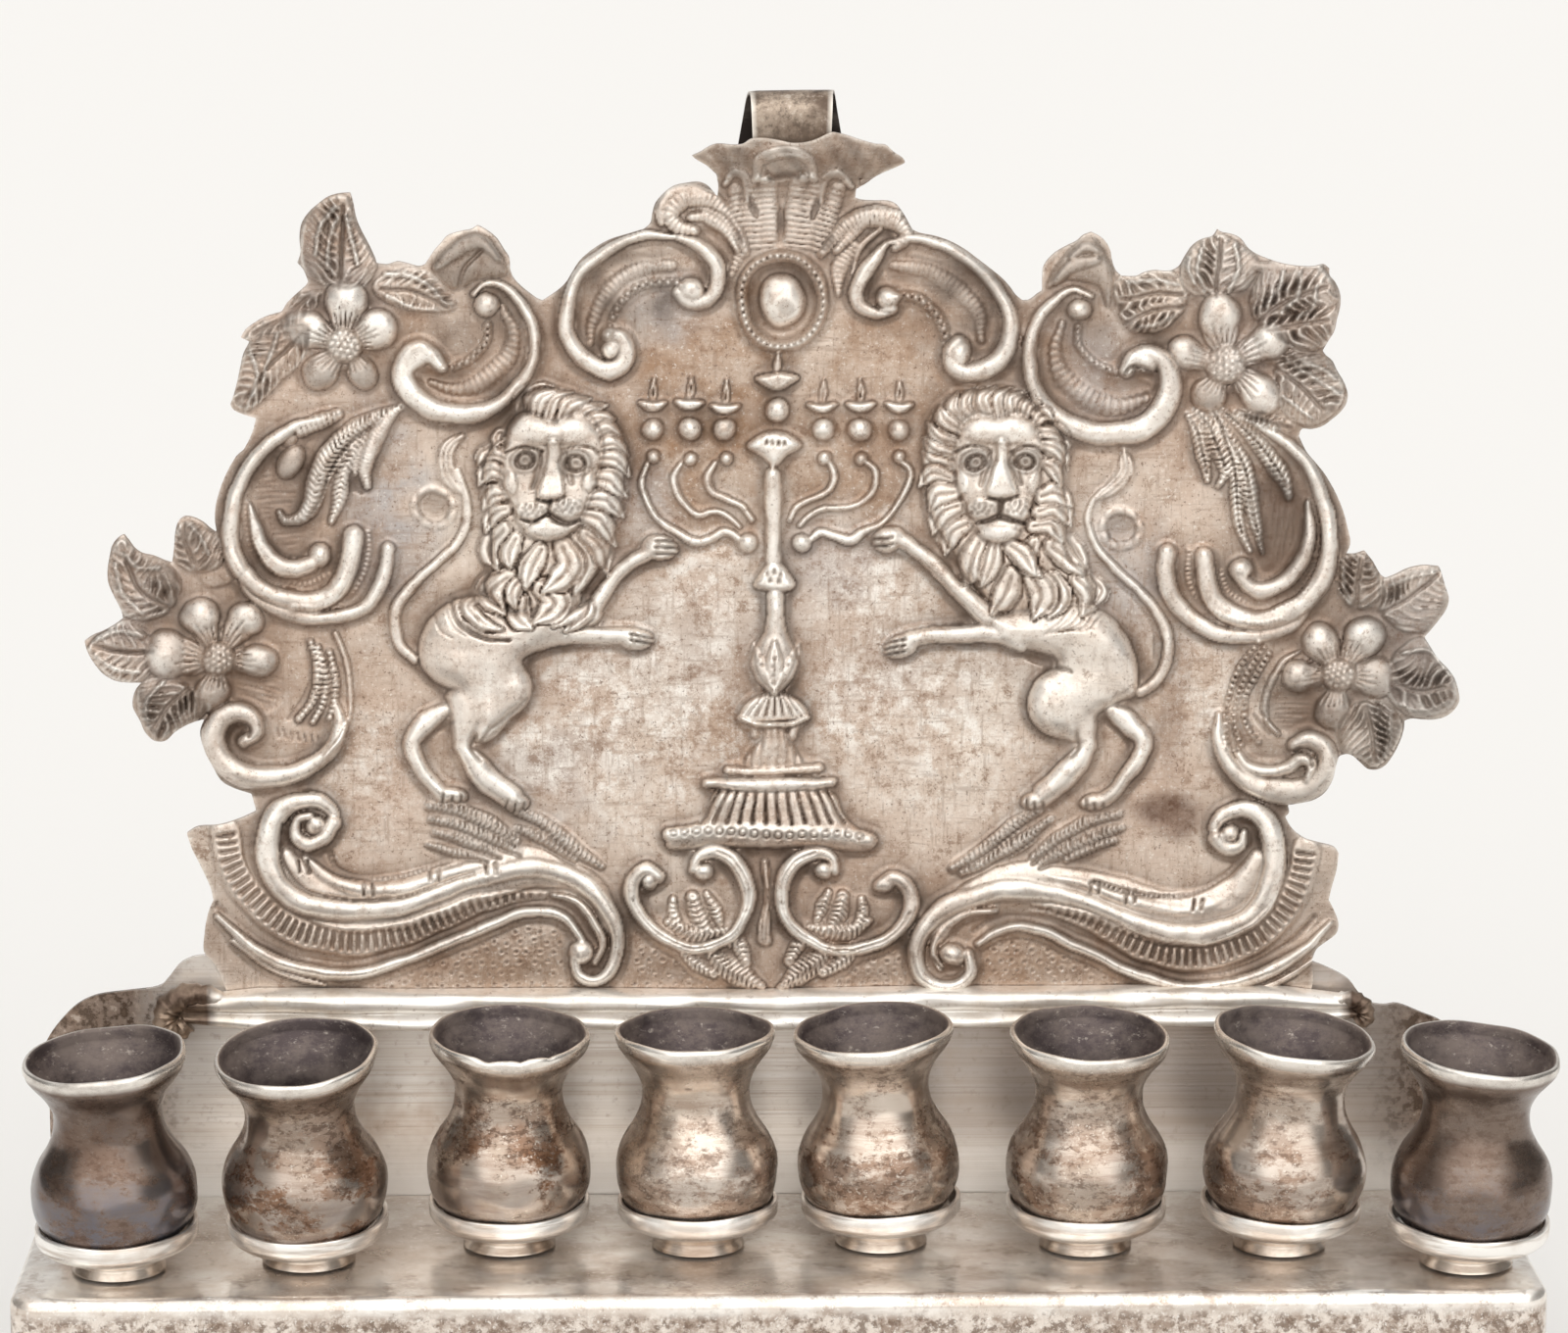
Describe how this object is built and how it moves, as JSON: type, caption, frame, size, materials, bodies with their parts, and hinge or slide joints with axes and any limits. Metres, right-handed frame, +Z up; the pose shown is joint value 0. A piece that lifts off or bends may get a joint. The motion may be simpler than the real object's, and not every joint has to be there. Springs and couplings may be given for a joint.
{
  "type": "hanukkah menorah",
  "caption": "Silver bench Hanukkah lamp: embossed lion plaque behind a footed shelf with a row of lift-out oil cups on drip dishes, and a hanging loop.",
  "frame": {"origin": "middle of the footprint, on the surface that the feet stand on", "axes": "+Z up, +X along the row of cups to the viewer's right, -Y towards the viewer, so the plaque faces -Y"},
  "size_m": [0.242, 0.0536, 0.2162],
  "materials": {
    "shelf_silver": "satin silver sheet, streaked",
    "wall_silver": "horizontally brushed silver sheet",
    "plaque_silver": "embossed silver, tarnished in the recesses",
    "moulding_silver": "polished silver wire",
    "strap_silver": "worn silver strap",
    "cup_silver": "heavily tarnished silver",
    "dish_silver": "polished silver",
    "collar_silver": "polished silver",
    "rivet_silver": "plain silver",
    "foot_silver": "turned silver, lightly tarnished"
  },
  "bodies": {
    "lamp": {"shelf": "shelf_silver", "back_wall": "wall_silver", "backplate": "plaque_silver", "base_moulding": "moulding_silver", "hanging_loop": "strap_silver", "foot_1": "foot_silver", "foot_2": "foot_silver", "foot_3": "foot_silver", "foot_4": "foot_silver", "cup_foot_1": "collar_silver", "cup_foot_2": "collar_silver", "cup_foot_3": "collar_silver", "cup_foot_4": "collar_silver", "cup_foot_5": "collar_silver", "cup_foot_6": "collar_silver", "cup_foot_7": "collar_silver", "cup_foot_8": "collar_silver", "drip_dish_1": "dish_silver", "drip_dish_2": "dish_silver", "drip_dish_3": "dish_silver", "drip_dish_4": "dish_silver", "drip_dish_5": "dish_silver", "drip_dish_6": "dish_silver", "drip_dish_7": "dish_silver", "drip_dish_8": "dish_silver", "cup_rivet_1": "rivet_silver", "cup_rivet_2": "rivet_silver", "cup_rivet_3": "rivet_silver", "cup_rivet_4": "rivet_silver", "cup_rivet_5": "rivet_silver", "cup_rivet_6": "rivet_silver", "cup_rivet_7": "rivet_silver", "cup_rivet_8": "rivet_silver"},
    "cup_1": {"oil_cup_1": "cup_silver"},
    "cup_2": {"oil_cup_2": "cup_silver"},
    "cup_3": {"oil_cup_3": "cup_silver"},
    "cup_4": {"oil_cup_4": "cup_silver"},
    "cup_5": {"oil_cup_5": "cup_silver"},
    "cup_6": {"oil_cup_6": "cup_silver"},
    "cup_7": {"oil_cup_7": "cup_silver"},
    "cup_8": {"oil_cup_8": "cup_silver"}
  },
  "joints": [
    {"name": "cup_1_lift", "type": "slide", "parent": "lamp", "child": "cup_1", "axis": [0, 0, 1], "range_m": [0, 0.04]},
    {"name": "cup_2_lift", "type": "slide", "parent": "lamp", "child": "cup_2", "axis": [0, 0, 1], "range_m": [0, 0.04]},
    {"name": "cup_3_lift", "type": "slide", "parent": "lamp", "child": "cup_3", "axis": [0, 0, 1], "range_m": [0, 0.04]},
    {"name": "cup_4_lift", "type": "slide", "parent": "lamp", "child": "cup_4", "axis": [0, 0, 1], "range_m": [0, 0.04]},
    {"name": "cup_5_lift", "type": "slide", "parent": "lamp", "child": "cup_5", "axis": [0, 0, 1], "range_m": [0, 0.04]},
    {"name": "cup_6_lift", "type": "slide", "parent": "lamp", "child": "cup_6", "axis": [0, 0, 1], "range_m": [0, 0.04]},
    {"name": "cup_7_lift", "type": "slide", "parent": "lamp", "child": "cup_7", "axis": [0, 0, 1], "range_m": [0, 0.04]},
    {"name": "cup_8_lift", "type": "slide", "parent": "lamp", "child": "cup_8", "axis": [0, 0, 1], "range_m": [0, 0.04]}
  ]
}
